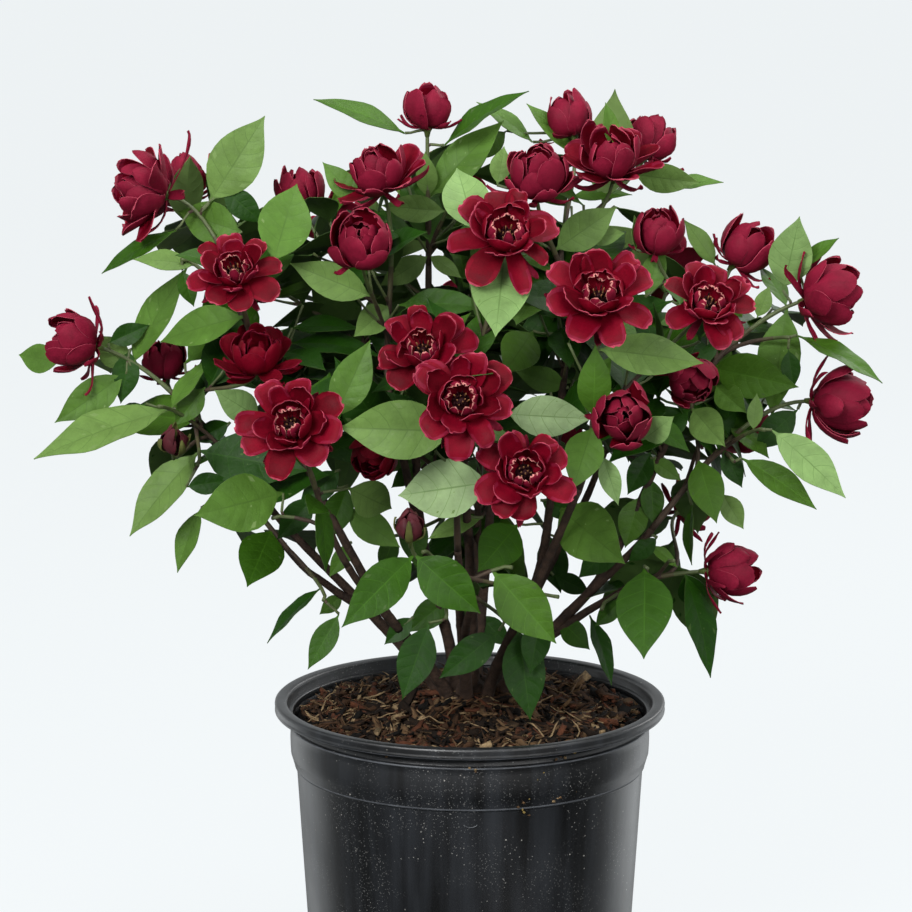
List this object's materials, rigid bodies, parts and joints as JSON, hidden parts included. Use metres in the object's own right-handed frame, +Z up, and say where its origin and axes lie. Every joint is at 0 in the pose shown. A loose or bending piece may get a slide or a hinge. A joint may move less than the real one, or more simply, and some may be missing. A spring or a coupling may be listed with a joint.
{
  "type": "potted carolina allspice",
  "caption": "Flowering shrub with many stems, opposite leaves and wine-red blooms, growing in a round tapered nursery pot topped with bark mulch.",
  "frame": {"origin": "centre of the pot's flat underside, on the surface that it stands on", "axes": "+Z up the plant, -Y towards the side that the picture shows, +X to that side's right"},
  "size_m": [0.5834, 0.4864, 0.6949],
  "materials": {
    "pot": "black blow-moulded plastic with a satin sheen and pale dust specks",
    "soil": "brown and tan bark chips, fibres and dark humus",
    "bark": "dark brown bark with fine ridges and pale lenticels",
    "foliage": "mid-green leaves with paler veins and a soft gloss",
    "petal": "deep wine-red tepals with a velvety sheen and pink edges at the heart"
  },
  "bodies": {
    "root": {"bough_back_left": "bark", "bough_back_low": "bark", "bough_front_low": "bark", "bough_left_lowest": "bark", "bough_left_top": "bark", "bough_right_high": "bark", "bough_right_lowest": "bark", "bough_top": "bark", "bough_top_right": "bark", "mass_back_centre": "foliage", "mass_back_high": "foliage", "mass_back_left": "foliage", "mass_back_low": "foliage", "mass_back_right": "foliage", "mass_front_centre": "foliage", "mass_front_high": "foliage", "mass_front_low": "foliage", "mass_left_front": "foliage", "mass_left_low": "foliage", "mass_left_lowest": "foliage", "mass_left_top": "foliage", "mass_right_front": "foliage", "mass_right_high": "foliage", "mass_right_low": "foliage", "mass_right_lowest": "foliage", "mass_top": "foliage", "mass_top_left": "foliage", "mass_top_right": "foliage", "pot": "pot", "root_crown": "bark", "soil": "soil", "stem_back_centre": "bark", "stem_back_high": "bark", "stem_back_right": "bark", "stem_front_centre": "bark", "stem_front_high": "bark", "stem_left_front": "bark", "stem_left_low": "bark", "stem_right_front": "bark", "stem_right_low": "bark", "stem_top_left": "bark"}
  },
  "joints": []
}
